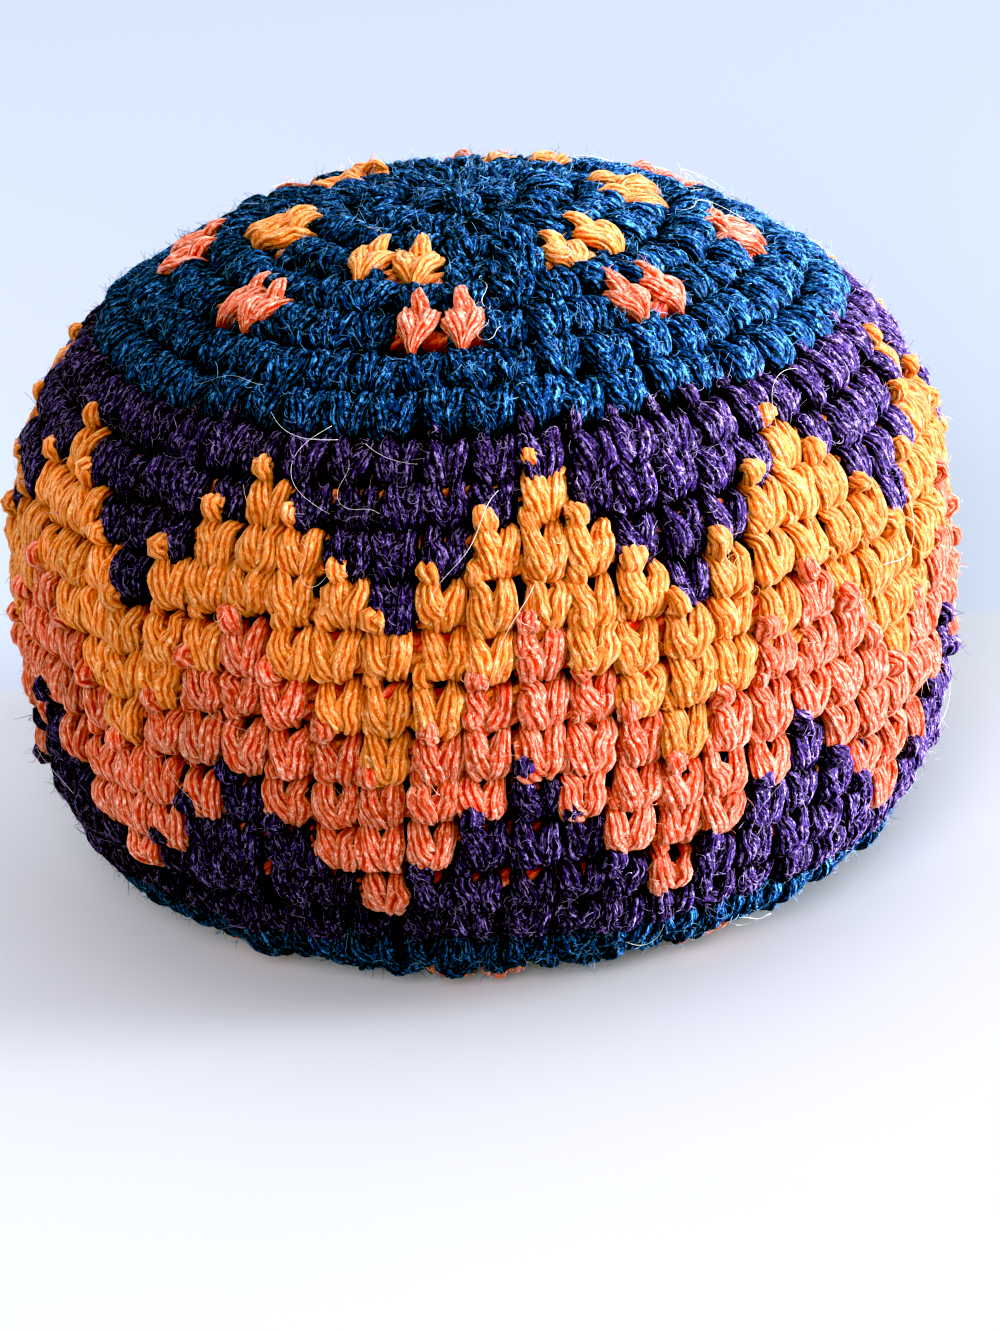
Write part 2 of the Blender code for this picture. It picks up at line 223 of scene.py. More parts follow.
PELLET_RADIUS = 0.00138
PELLET_HALF_HEIGHT = 0.00118
PELLET_SIZE_RANGE = (0.90, 1.0)
PELLET_SHIFT = 0.00006
PELLET_SIDES = 8
PELLET_RINGS = 5
PELLET_DEPTH = 0.0050
PELLET_CELLS = 12
PELLET_SLANT = 0.42
PELLET_ROUNDNESS = 0.7

# Loose fibres: how many a stitch, their length, thickness and root under the surface, how they lift,
# curl and bend in radians, and how far they start off the strand
FIBRES_A_STITCH = {"blue": 38, "purple": 38, "gold": 7, "coral": 9}
FIBRE_LENGTH = (0.0003, 0.0013)
FIBRE_RADIUS = (0.000013, 0.000026)
FIBRE_ROOT = 0.0001
FIBRE_LIFT = (0.0, 0.6)
FIBRE_CURL = 2.2
FIBRE_BEND = (-0.4, 0.6)
FIBRE_SPREAD = 0.00025
FIBRE_TAPER = 0.6
FIBRE_RINGS = 6
FIBRE_SIDES = 3

# Slots whose yarn catches the extra light on its fuzz
DARK_SLOTS = ("blue_yarn", "purple_yarn")

# Long hairs that lie loosely on the bag
HAIR_COUNT = 56
HAIR_RINGS = 28
HAIR_SIDES = 4
HAIR_LENGTH = (0.0025, 0.0085)
HAIR_RADIUS = (0.000010, 0.000017)
HAIR_TAPER = 0.5
HAIR_LIFT = 0.0007
HAIR_LIFT_RANGE = (0.15, 1.0)
HAIR_ARC = 0.85
HAIR_CLEARANCE = 0.0001
HAIR_STARTS = (0.12, 0.72)
HAIR_BEND = 1.5
HAIR_WAVE = 0.8

# Camera, fitted to the stitches seen in the photograph
IMAGE_WIDTH, IMAGE_HEIGHT = 1000, 1333
FOCAL_PIXELS = 5613.0
SENSOR_WIDTH = 36.0
CAMERA_CLIP = (0.01, 10.0)
CAMERA_DISTANCE = 12 * BAG_RADIUS
CAMERA_PITCH = math.radians(19.33)
CAMERA_ROLL = math.radians(3.37)
CENTRE_PIXEL = (481.7, 526.4)
TABLE_EDGE_PIXELS = ((0.0, 690.0), (1000.0, 610.0))

# Floor: half its width, how soft the table's edge is, and the tones of the table and beyond it
FLOOR_REACH = 4.0
TABLE_EDGE_SOFTNESS = 0.0012
TABLE_TONES = ((133, 139, 146), (136, 142, 149))
GROUND_TONE = (130, 139, 151)


def linear(red, green, blue):
    """Linear colour of an sRGB one given from 0 to 255."""
    channels = []
    for value in (red, green, blue):
        share = value / 255
        channels.append(share / 12.92 if share <= 0.04045 else ((share + 0.055) / 1.055) ** 2.4)
    return (*channels, 1.0)


# The outline and places on it

def profile_table():
    """Radius, height and arc length along the outline, from the top pole to the bottom one."""
    turn = np.linspace(0.0, math.pi, PROFILE_SAMPLES)
    upper = turn <= math.pi / 2
    power = 2 / np.where(upper, CROWN_SQUARENESS, BASE_SQUARENESS)
    rise = np.where(upper, CROWN_RISE, BASE_DROP)
    radius = BAG_RADIUS * np.abs(np.sin(turn)) ** power
    height = rise * np.sign(np.cos(turn)) * np.abs(np.cos(turn)) ** power
    steps = np.hypot(np.diff(radius), np.diff(height))
    return radius, height, np.concatenate(([0.0], np.cumsum(steps)))


PROFILE_RADIUS, PROFILE_HEIGHT, PROFILE_ARC = profile_table()
ARC_TOTAL = PROFILE_ARC[-1]
ROUND_PITCH = (ARC_TOTAL - START_RING_RADIUS - CLOSING_RING_RADIUS) / ROUND_COUNT
CENTRE_HEIGHT = BASE_DROP - REST_FLAT_DEPTH
CENTRE = Vector((0.0, 0.0, CENTRE_HEIGHT))


def round_middle(index):
    """Arc length of the middle of a round, counted from the crown's centre."""
    return START_RING_RADIUS + (index + 0.5) * ROUND_PITCH


def outline_place(along):
    """Radius and height of the outline at some arc lengths, and its outward slope there."""
    along = np.clip(along, 0.0, ARC_TOTAL)
    radius = np.interp(along, PROFILE_ARC, PROFILE_RADIUS)
    height = np.interp(along, PROFILE_ARC, PROFILE_HEIGHT)
    upper = height >= 0
    rise = np.where(upper, CROWN_RISE, BASE_DROP)
    power = np.where(upper, CROWN_SQUARENESS, BASE_SQUARENESS) - 1
    slope_out = (radius / BAG_RADIUS) ** power / BAG_RADIUS
    slope_up = np.sign(height) * (np.abs(height) / rise) ** power / rise
    steepness = np.hypot(slope_out, slope_up)
    return radius, height + CENTRE_HEIGHT, slope_out / steepness, slope_up / steepness


def on_skin(along, angle, depth):
    """Points under the outline and their outward directions; angle 0 is the front."""
    along, angle, depth = np.broadcast_arrays(along, angle, depth)
    radius, height, slope_out, slope_up = outline_place(along)
    reach = radius - depth * slope_out
    sine, cosine = np.sin(angle), np.cos(angle)
    points = np.stack([reach * sine, -reach * cosine, height - depth * slope_up], axis=-1)
    outward = np.stack([slope_out * sine, -slope_out * cosine, slope_up], axis=-1)
    return points, outward


def pressed(points):
    """The points with what would go under the floor pressed softly on to it."""
    height = points[..., 2]
    low = FLOOR_SOFTNESS * np.exp(np.minimum((height - FLOOR_SOFTNESS) / FLOOR_SOFTNESS, 0.0))
    points[..., 2] = np.where(height > FLOOR_SOFTNESS, height, low)
    return points


# Tubes along paths

def spline_weights(controls, samples):
    """Weights that read a smooth curve at evenly spaced places from its control points."""
    weights = np.zeros((samples, controls))
    for row, place in enumerate(np.linspace(0.0, controls - 1.0, samples)):
        first = min(int(place), controls - 2)
        t = place - first
        blend = (
            -0.5 * t + t * t - 0.5 * t ** 3,
            1.0 - 2.5 * t * t + 1.5 * t ** 3,
            0.5 * t + 2.0 * t * t - 1.5 * t ** 3,
            -0.5 * t * t + 0.5 * t ** 3,
        )
        for offset, share in enumerate(blend):
            column = min(max(first + offset - 1, 0), controls - 1)
            weights[row, column] += share
    return weights


def unit(vectors):
    return vectors / np.maximum(np.linalg.norm(vectors, axis=-1, keepdims=True), 1e-12)


def around(first, second, sides):
    """Directions evenly spaced round, in the plane of each two directions."""
    turn = (np.arange(sides) * math.tau / sides)[:, None]
    return np.cos(turn) * first[..., None, :] + np.sin(turn) * second[..., None, :]


def pairs(x, y):
    return np.stack(np.broadcast_arrays(x, y), axis=-1).reshape(-1, 2)


class Strands:
    """Rows of tubes that become one mesh, with a yarn map, a map for baking, and shades."""

    def __init__(self):
        self.parts = []

    def add(self, rings, ridge, depth, shade):
        """Rings are (tubes, rings, sides, 3); ridge and depth are per point, shade per tube."""
        self.parts.append((rings, ridge, depth, shade[:, None, None]))

    def build(self, name):
        points, corners, sizes, yarn_map, atlas = [], [], [], [], []
        values = {"ridge": [], "depth": [], "shade": []}
        grid = math.ceil(math.sqrt(sum(len(part[0]) for part in self.parts)))
        cell = 1.0 / grid
        margin = CELL_MARGIN * cell
        room = cell - 2 * margin
        first_point = first_tube = 0
        for rings, *part_values in self.parts:
            tubes, length, sides, _ = rings.shape
            spans = length - 1
            index = first_point + np.arange(tubes * length * sides).reshape(tubes, length, sides)
            here, below = index[:, :-1], index[:, 1:]
            quads = np.stack([here, np.roll(here, -1, 2), np.roll(below, -1, 2), below], axis=-1)
            corners.append(quads.ravel())
            sizes.append(np.full(tubes * spans * sides, 4))
            steps = np.linalg.norm(np.diff(rings.mean(axis=2), axis=1), axis=-1).mean(axis=1)
            across = np.linalg.norm(rings - np.roll(rings, -1, 2), axis=-1).mean(axis=(1, 2))
            lot = (first_tube + np.arange(tubes))[:, None, None, None]
            run = np.array([0, 0, 1, 1]) + np.arange(spans)[:, None, None]
            turn = np.array([0, 1, 1, 0]) + np.arange(sides)[:, None]
            yarn_map.append(pairs(
                run * steps[:, None, None, None] * MILLIMETRES + lot * YARN_MAP_STEP[0],
                turn * across[:, None, None, None] * MILLIMETRES + lot * YARN_MAP_STEP[1]))
            left, low = lot % grid * cell, lot // grid * cell
            atlas.append(pairs(left + margin + room * turn / sides,
                               low + margin + room * run / spans))
            ring_turn = np.arange(sides) * math.tau / sides
            for ring, lift in ((index[:, 0, ::-1], 0.0), (index[:, -1], 1.0)):
                corners.append(ring.ravel())
                sizes.append(np.full(tubes, sides))
                middle = low + 0.5 * margin + lift * (cell - margin)
                cap = pairs(left + 0.5 * margin + CAP_RADIUS * margin * np.cos(ring_turn),
                            middle + CAP_RADIUS * margin * np.sin(ring_turn))
                atlas.append(cap)
                yarn_map.append(cap)
            points.append(rings.reshape(-1, 3))
            for kept, value in zip(values.values(), part_values):
                kept.append(np.broadcast_to(value, (tubes, length, sides)).ravel())
            first_point += index.size
            first_tube += tubes
        mesh = fresh_mesh(name, points, corners, sizes)
        write_map(mesh, "YarnMap", np.concatenate(yarn_map))
        write_map(mesh, "OFBake", np.concatenate(atlas))
        for key, kept in values.items():
            write_value(mesh, key, np.concatenate(kept))
        return mesh


def fresh_mesh(name, points, corners, sizes):
    """A smooth mesh of points and of faces given by their corners and sizes, all in lists."""
    points, corners, sizes = map(np.concatenate, (points, corners, sizes))
    mesh = bpy.data.meshes.new(name)
    mesh.vertices.add(len(points))
    mesh.vertices.foreach_set("co", np.ascontiguousarray(points, np.float32).ravel())
    mesh.loops.add(len(corners))
    mesh.loops.foreach_set("vertex_index", np.ascontiguousarray(corners, np.int32))
    mesh.polygons.add(len(sizes))
    starts = np.concatenate(([0], np.cumsum(sizes)[:-1]))
    mesh.polygons.foreach_set("loop_start", np.ascontiguousarray(starts, np.int32))
    mesh.update(calc_edges=True)
    mesh.shade_smooth()
    return mesh


def write_map(mesh, name, places):
    layer = mesh.uv_layers.new(name=name)
    layer.uv.foreach_set("vector", np.ascontiguousarray(places, np.float32).ravel())


def write_value(mesh, name, values):
    attribute = mesh.attributes.new(name, "FLOAT", "POINT")
    attribute.data.foreach_set("value", np.ascontiguousarray(values, np.float32))


def smooth_noise(rng, tubes, length, sides):
    """Random values that change gently along and round each tube."""
    coarse = rng.normal(0.0, 1.0, (tubes, length // NOISE_STEP + 2, sides))
    coarse = (coarse + np.roll(coarse, 1, 2) + np.roll(coarse, -1, 2)) / NOISE_SPREAD
    return np.einsum("rk,tks->trs", spline_weights(coarse.shape[1], length), coarse)


def plied_rings(path, outward, half_width, half_thickness, plies, twist, rng):
    """Rings round each path, with a ridge for each ply that winds round it.

    Also how high on a ply each point is, from 0 to 1, and how far outside the path it lies."""
    tubes, length = path.shape[:2]
    sides = plies * SIDES_PER_PLY
    along = unit(np.gradient(path, axis=1))
    out = unit(outward - (outward * along).sum(-1, keepdims=True) * along)
    side = np.cross(along, out)
    base = np.arange(sides) * math.tau / sides
    start = rng.uniform(0.0, math.tau, tubes)
    turning = twist * np.linspace(-0.5, 0.5, length)
    angle = base[None, None, :] + start[:, None, None] + turning[None, :, None]
    wave = np.abs(np.sin(plies * base / 2))
    strength = rng.normal(0.0, PLY_UNEVENNESS, (tubes, plies))
    ply = np.arange(sides) // SIDES_PER_PLY
    uneven = GROOVE_UNEVENNESS * smooth_noise(rng, tubes, length, sides)
    groove = PLY_GROOVE_SHARE * (1.0 + uneven)
    size = 1.0 - groove * (1.0 - wave) + (strength[:, ply] * wave)[:, None, :]
    size = size + LUMP_SHARE * smooth_noise(rng, tubes, length, sides)
    across = np.sin(angle) * size * half_width[..., None]
    up = np.cos(angle) * size * half_thickness[..., None]
    rings = path[:, :, None] + across[..., None] * side[:, :, None] + up[..., None] * out[:, :, None]
    return pressed(rings), wave, up


def finish_piece(mesh, material, slot=None, replaced=()):
    """Put a mesh into the scene as a named piece that rides with the bag."""
    piece = bpy.data.objects.new(mesh.name, mesh)
    bpy.context.scene.collection.objects.link(piece)
    mesh.materials.append(material)
    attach(piece, "root")
    if replaced:
        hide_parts(*replaced)
    if slot in DARK_SLOTS:
        bpy.data.collections["dark_yarn"].objects.link(piece)
    return piece


# Stitches

def wander(index, angles):
    """How far a round strays from its place, smoothly round the bag."""
    rng = np.random.default_rng(WANDER_SEED + index)
    stray = np.zeros(len(angles))
    for wave in range(2, ROUND_WAVES):
        stray += rng.normal(0.0, ROUND_WANDER) * np.sin(wave * angles + rng.uniform(0.0, math.tau))
    return stray


Group = namedtuple("Group", "name yarn node angles raised is_motif")


def loop_controls(group, jitter):
    """Control points of each stitch's loop: flat on its own yarn, raised, or an ear of a motif."""
    raised = group.raised[:, None, None]
    high = np.array(EAR_LOOP if group.is_motif else RAISED_LOOP)
    return np.array(TOP_LOOP) * (1.0 - raised) + high * raised + jitter


def leg_controls(path, index, group, jitter):
    """Control points of one leg of each stitch."""
    controls = np.array(path)[None] + jitter
    if group.is_motif:
        foot = np.clip(-controls[..., 1:2] / MOTIF_PINCH_REACH, 0.0, 1.0)
        controls[..., (0, 3)] *= 1.0 - MOTIF_PINCH * foot
        controls[..., 1] *= MOTIF_STITCH_HEIGHT
        controls[..., 2] += MOTIF_LIFT
    elif index < PANEL_ROUNDS:
        controls[..., 1] *= CROWN_STITCH_HEIGHT
        controls[..., 3] *= CROWN_STITCH_SPREAD
    return controls


def stitch_strands(strands, index, group, count, rng):
    """The three tubes of each stitch of a group."""
    angles = group.angles
    stitches = len(angles)
    middle = round_middle(index)
    radius = float(outline_place(middle)[0])
    step = math.tau / count
    width = radius * step
    shift = rng.normal(0.0, 1.0, (stitches, 1, 3)) * np.array(WHOLE_STITCH_JITTER)
    shade = rng.normal(0.0, 1.0, stitches)
    middle = middle + wander(index, angles)[:, None]
    tops = []
    for path, rings, plies, twist in STITCH_TUBES:
        jitter = rng.normal(0.0, 1.0, (stitches, len(path), 5)) * CONTROL_JITTER
        jitter[..., :3] += shift
        if path is TOP_LOOP:
            controls = loop_controls(group, jitter)
            uneven = rng.normal(0.0, LOOP_SIZE_SPREAD, (stitches, 1, 1))
            controls[..., 3:] *= np.exp(
                uneven * (1.0 - RAISED_EVENNESS * group.raised[:, None, None]))
        else:
            controls = leg_controls(path, index, group, jitter)
        smooth = spline_weights(len(path), rings) @ controls
        x, y, z = smooth[..., 0], smooth[..., 1], smooth[..., 2]
        x = x - LEAN_PER_ROUND * y
        places, outward = on_skin(middle - y * ROUND_PITCH, angles[:, None] + x * step, -z * width)
        tube_rings, wave, up = plied_rings(places, outward, smooth[..., 3] * width,
                                           smooth[..., 4] * width, plies, twist, rng)
        # The depth under the outline, by which the yarn's colour darkens into painted shade
        strands.add(tube_rings, wave, -z[..., None] - up / width, shade)
        tops.append((places, outward, smooth[..., 4] * width))
    return tops


def chart_band(row, column):
    """Which band a stitch of the chart belongs to, from 0 at the top to 3 at the bottom."""
    if row < 1:
        return 0
    if row > ZIGZAG_BANDS * ZIGZAG_ROWS:
        return ZIGZAG_BANDS
    band, step = divmod(row - 1, ZIGZAG_ROWS)
    off_peak = abs((column + ZIGZAG_ROWS) % ZIGZAG_REPEAT - ZIGZAG_ROWS)
    return band + 1 if off_peak <= step else band


def chart_angle(row, column):
    lean = LEAN_PER_ROUND * (row - (CHART_ROWS - 1) / 2)
    return CHART_PHASE + math.tau * (column + lean) / CHART_STITCHES


BAND_YARNS = ("purple", "gold", "coral", "purple")
BAND_NODES = ("upper_purple_band", "gold_zigzag_band", "coral_zigzag_band", "lower_purple_band")


def round_groups():
    """Every round as its number, the stitches in it and their groups."""
    columns = np.arange(CHART_STITCHES)
    for index in range(ROUND_COUNT):
        row = index - PANEL_ROUNDS
        if 0 < row < CHART_ROWS - 1:
            bands, above = [np.array([chart_band(line, column) for column in columns])
                            for line in (row, row - 1)]
            angles = chart_angle(row, columns)
            groups = []
            for band in np.unique(bands):
                own = bands == band
                raised = (above != band)[own].astype(float)
                groups.append(plain_group(BAND_YARNS[band], index, BAND_NODES[band], angles[own],
                                          raised))
            yield index, CHART_STITCHES, groups
        elif row in (0, CHART_ROWS - 1):
            steps = np.arange(JOINING_STITCHES)
            angles = chart_angle(row, 0) + math.tau * steps / JOINING_STITCHES
            node = BAND_NODES[0 if row == 0 else ZIGZAG_BANDS]
            yield index, JOINING_STITCHES, [plain_group("purple", index, node, angles)]
        else:
            yield panel_round(index)


def plain_group(yarn, index, node, angles, raised=None):
    """Stitches of one yarn in a round; their loops lie flat unless it says which are raised."""
    name = yarn + "_stitches_round_" + str(index + 1)
    flat = np.zeros(len(angles))
    return Group(name, yarn, node, angles, flat if raised is None else raised, False)


def panel_round(index):
    """A round of the crown or the base, with its motif stitches apart."""
    is_crown = index < PANEL_ROUNDS
    panel = "crown" if is_crown else "base"
    node = panel + "_panel"
    place = index if is_crown else ROUND_COUNT - 1 - index
    count = PANEL_STITCHES[place]
    step = math.tau / count
    columns = np.arange(count)
    for yarn, motif_place, motifs, phase in PANEL_MOTIFS:
        if motif_place == place:
            angles = phase + step * (columns + 0.5)
            apart = count // motifs
            own = np.isin(columns % apart, (0, apart - 1))
            groups = [plain_group("blue", index, node, angles[~own])]
            for number in range(motifs):
                motif = panel + "_" + yarn + "_motif_" + str(number + 1)
                pair = phase + math.tau * number / motifs + step * np.array([-0.5, 0.5])
                raised = np.full(2, float(is_crown))
                groups.append(Group(motif + "_stitches", yarn, motif, pair, raised, True))
            return index, count, groups
    angles = CHART_PHASE + step * (columns + PANEL_STAGGER * place)
    return index, count, [plain_group("blue", index, node, angles)]


def fibre_strands(strands, tubes, count, rng):
    """Short loose fibres that curl off the outer side of some tubes."""
    stitches = len(tubes[0][0])
    rows = np.arange(stitches)[:, None]
    which = rng.integers(0, len(tubes), (stitches, count))
    bases, normals, alongs = [], [], []
    for kind, (places, outward, thickness) in enumerate(tubes):
        picked = rng.integers(2, places.shape[1] - 2, (stitches, count))
        spot = places[rows, picked] + outward[rows, picked] * thickness[rows, picked][..., None]
        ahead = unit(places[rows, picked + 1] - places[rows, picked - 1])
        own = which == kind
        bases.append(spot[own])
        normals.append(outward[rows, picked][own])
        alongs.append(ahead[own])
    base, normal, ahead = map(np.concatenate, (bases, normals, alongs))
    side = np.cross(normal, ahead)
    fibres = len(base)
    heading = rng.uniform(0.0, math.tau, fibres)
    lift = rng.uniform(*FIBRE_LIFT, fibres)
    length = rng.uniform(*FIBRE_LENGTH, fibres)
    curl = rng.normal(0.0, FIBRE_CURL, fibres)
    bend = rng.normal(*FIBRE_BEND, fibres)
    radius = rng.uniform(*FIBRE_RADIUS, fibres)
    base = base + side * rng.normal(0.0, FIBRE_SPREAD, fibres)[:, None]
    share = np.linspace(0.0, 1.0, FIBRE_RINGS)
    turn = (heading[:, None] + curl[:, None] * share)[..., None]
    rise = (lift[:, None] + bend[:, None] * share)[..., None]
    level = np.cos(turn) * ahead[:, None] + np.sin(turn) * side[:, None]
    steps = level * np.cos(rise) + np.sin(rise) * normal[:, None]
    steps = steps * (length / FIBRE_RINGS)[:, None, None]
    path = base[:, None] - FIBRE_ROOT * normal[:, None] + np.cumsum(steps, axis=1)
    thin = radius[:, None] * (1.0 - FIBRE_TAPER * share)
    along = unit(np.gradient(path, axis=1))
    out = unit(np.cross(along, normal[:, None]) + 1e-9)
    thin_tubes(strands, path, thin, (out, np.cross(along, out)), FIBRE_SIDES, rng)


def thin_tubes(strands, path, radius, directions, sides, rng):
    """Smooth round tubes along each path, each with a shade of its own."""
    rings = path[:, :, None] + radius[:, :, None, None] * around(*directions, sides)
    strands.add(pressed(rings), 1.0, 0.0, rng.normal(0.0, 1.0, len(path)))


# Materials

class Graph:
    """The nodes of a material or of the world, with short ways to add to them."""

    def __init__(self, owner):
        self.owner = owner
        owner.use_nodes = True
        self.nodes, self.links = owner.node_tree.nodes, owner.node_tree.links

    def fill(self, node, values):
        """Set sockets of a node to values, or link them to other nodes' outputs."""
        for socket, value in values.items():
            if isinstance(value, bpy.types.NodeSocket):
                self.links.new(value, node.inputs[socket])
            else:
                node.inputs[socket].default_value = value

    def shade(self, values):
        self.fill(self.nodes["Principled BSDF"], values)

    def add(self, kind, values=None, output=0, **settings):
        """An output of a new node."""
        node = self.nodes.new("ShaderNode" + kind)
        for name, setting in settings.items():
            setattr(node, name, setting)
        self.fill(node, values or {})
        return node.outputs[output]

    def place(self, space="Object"):
        return self.add("TexCoord", output=space)

    def value(self, name):
        """A value that the mesh carries."""
        return self.add("Attribute", output="Fac", attribute_name=name)

    def math(self, operation, *values):
        return self.add("Math", dict(enumerate(values)), operation=operation)

    def towards(self, place, direction):
        """How far a place lies in a direction."""
        return self.add("VectorMath", {0: place, 1: direction}, "Value", operation="DOT_PRODUCT")

    def mix(self, share, first, second):
        return self.add("Mix", {0: share, 6: first, 7: second}, 2, data_type="RGBA")

    def ramp(self, value, low, high):
        """The value stretched from low to high on to 0 to 1, with soft ends."""
        return self.add("MapRange", {"Value": value, "From Min": low, "From Max": high},
                        interpolation_type="SMOOTHSTEP")

    def spread(self, value, low, high):
        """The value stretched from 0 to 1 on to low to high."""
        return self.add("MapRange", {"Value": value, "To Min": low, "To Max": high})

    def noise(self, vector, scale, detail, stretch=None):
        if stretch:
            vector = self.add("Mapping", {"Vector": vector, "Scale": stretch})
        return self.add("TexNoise", {"Vector": vector, "Scale": scale, "Detail": detail})

    def stirred(self, value, noise, amount):
        """The value moved up and down by a noise."""
        return self.math("ADD", value, self.math("MULTIPLY_ADD", noise, amount, -amount / 2))

    def eased(self, value, amount):
        """The value, brought nearer to 1 the smaller the amount is."""
        return self.math("MULTIPLY_ADD", value, amount, 1.0 - amount)

    def bump(self, height, strength, distance):
        return self.add("Bump", {"Height": height, "Strength": strength, "Distance": distance})


# Yarn colours: painted shade deep inside and in the grooves, which also tints darker patches; on the
# plies;
# and on the fibres that catch light, partly lighter fibres and partly painted highlight; how dark the
# painted groove shade gets, how much the light fibres cover and how patchy the yarn is; the depths,
# in stitch widths, over which the yarn sinks into painted shade; how it shines, and how much nap it
# has
Yarn = namedtuple("Yarn", "deep body light groove_depth cover patchy sunk shine nap")
YARNS = {
    "blue": Yarn(linear(6, 10, 26), linear(32, 62, 116), linear(98, 160, 214),
                 0.94, 0.47, 0.85, (0.04, 0.42), 0.03, 0.0),
    "purple": Yarn(linear(12, 6, 24), linear(67, 46, 107), linear(158, 138, 192),
                   0.92, 0.47, 0.80, (0.0, 0.36), 0.03, 0.0),
    "gold": Yarn(linear(172, 38, 14), linear(234, 152, 93), linear(252, 209, 175),
                 0.82, 0.44, 0.34, (0.10, 0.50), 0.20, 0.90),
    "coral": Yarn(linear(182, 12, 8), linear(230, 126, 107), linear(253, 212, 200),
                  0.96, 0.48, 0.64, (0.05, 0.40), 0.20, 1.00),
    "hair": Yarn(linear(150, 144, 156), linear(198, 192, 206), linear(238, 236, 240),
                 0.50, 0.50, 0.0, (1.0, 2.0), 0.30, 0.20),
    "tie": Yarn(linear(112, 96, 72), linear(204, 194, 170), linear(240, 234, 216),
                0.70, 0.45, 0.3, (1.0, 2.0), 0.30, 0.30),
}
# Patterns on the yarn, as scales along it and across it, and detail
YARN_STROKES = ((3.0, 9.0, 1.0), 3.0)
YARN_STREAKS = ((1.7, 6.0, 1.0), 2.0)
YARN_TUFTS = ((1.4, 1.8, 1.0), 2.0)
YARN_GRAIN = ((8.0, 15.0, 1.0), 1.0)
YARN_CLUMPS = ((3.2, 5.5, 1.0), 2.0)
# How much streaks stir the grooves, tufts the depth, and tufts and grain the light fibres
GROOVE_STREAKS = 2.4
DEPTH_TUFTS = 0.3
LIGHT_TUFTS = 0.7
LIGHT_GRAIN = 0.8
# Where grooves, clumps and light fibres set in and where they are full; for the fibres this is
# counted from 1 less their cover
GROOVE_RANGE = (-0.10, 0.95)
CLUMP_RANGE = (0.36, 0.56)
LIGHT_RANGE = (-0.06, 0.20)
STITCH_TONES = 0.08
NAP_HIDDEN = 0.35
NAP_SHOWN = 0.65
NAP_ROUGHNESS = 0.55
YARN_ROUGHNESS = (0.75, 0.4)
GRAIN_RELIEF = 0.5
CLUMP_RELIEF = 1.4
YARN_BUMP = (0.9, 0.00012)


def yarn_material(yarn):
    """Fibres that run with the plies, painted shade in the grooves and deep in the stitch, and flecks
    of lighter fibre with painted highlight on the raised parts.
    """
    look = YARNS[yarn]
    graph = Graph(bpy.data.materials.new(yarn + "_yarn"))
    yarn_map = graph.add("UVMap", uv_map="YarnMap")
    strokes, streaks, tufts, grain, clumps = [
        graph.noise(yarn_map, 1.0, detail, stretch)
        for stretch, detail in (YARN_STROKES, YARN_STREAKS, YARN_TUFTS, YARN_GRAIN, YARN_CLUMPS)]
    # Painted shade: the yarn darkens towards its shade colour in the grooves between plies and deep
    # under the outline; random clumps, the yarn's own patches, use the same colour
    sunk = graph.stirred(graph.value("ridge"), streaks, GROOVE_STREAKS)
    groove = graph.eased(graph.ramp(sunk, *GROOVE_RANGE), look.groove_depth)
    inner = graph.stirred(graph.value("depth"), tufts, DEPTH_TUFTS)
    outer = graph.math("SUBTRACT", 1.0, graph.ramp(inner, *look.sunk))
    clump = graph.eased(graph.ramp(clumps, *CLUMP_RANGE), look.patchy)
    shown = graph.math("MULTIPLY", graph.math("MULTIPLY", groove, outer), clump)
    colour = graph.mix(shown, look.deep, look.body)
    # Light flecks: partly lighter fibres, partly painted highlight, kept to the raised parts that the
    # painted shade leaves bare
    caught = graph.stirred(graph.stirred(strokes, tufts, LIGHT_TUFTS), grain, LIGHT_GRAIN)
    bare = 1.0 - look.cover
    caught = graph.ramp(caught, bare + LIGHT_RANGE[0], bare + LIGHT_RANGE[1])
    colour = graph.mix(graph.math("MULTIPLY", caught, shown), colour, look.light)
    tone = graph.math("MULTIPLY_ADD", graph.value("shade"), STITCH_TONES, 1.0)
    relief = graph.math("ADD", strokes, streaks)
    relief = graph.math("MULTIPLY_ADD", grain, GRAIN_RELIEF, relief)
    relief = graph.math("MULTIPLY_ADD", clumps, CLUMP_RELIEF, relief)
    graph.shade({
        "Base Color": graph.add("VectorMath", {0: colour, "Scale": tone}, operation="SCALE"),
        "Roughness": graph.spread(strokes, *YARN_ROUGHNESS),
        "Specular IOR Level": look.shine,
        "Sheen Roughness": NAP_ROUGHNESS,
        "Sheen Tint": look.light,
        "Normal": graph.bump(relief, *YARN_BUMP),
    })
    if look.nap:
        nap = graph.math("MULTIPLY_ADD", shown, NAP_SHOWN * look.nap, NAP_HIDDEN * look.nap)
        graph.shade({"Sheen Weight": nap})
    return graph.owner


def fibre_material(yarn):
    """Fine fibres, each a little lighter or darker."""
    look = YARNS[yarn]
    graph = Graph(bpy.data.materials.new(yarn + "_fibres"))
    share = graph.ramp(graph.value("shade"), -1.5, 1.5)
    graph.shade({
        "Base Color": graph.mix(share, look.body, look.light),
        "Roughness": 0.6,
        "Sheen Weight": 0.3,
    })
    return graph.owner


def painted_shade_backing_material():
    """The inner face: a dark mix of the carried yarns' colours, darkened nearly to black as painted
    shade in the holes between stitches.
    """
    graph = Graph(bpy.data.materials.new("backing_painted_shade"))
    patches = graph.ramp(graph.noise(graph.place(), 700.0, 2.0), 0.4, 0.6)
    graph.shade({
        "Base Color": graph.mix(patches, linear(10, 8, 24), linear(30, 14, 34)),
        "Roughness": 0.95,
    })
    return graph.owner


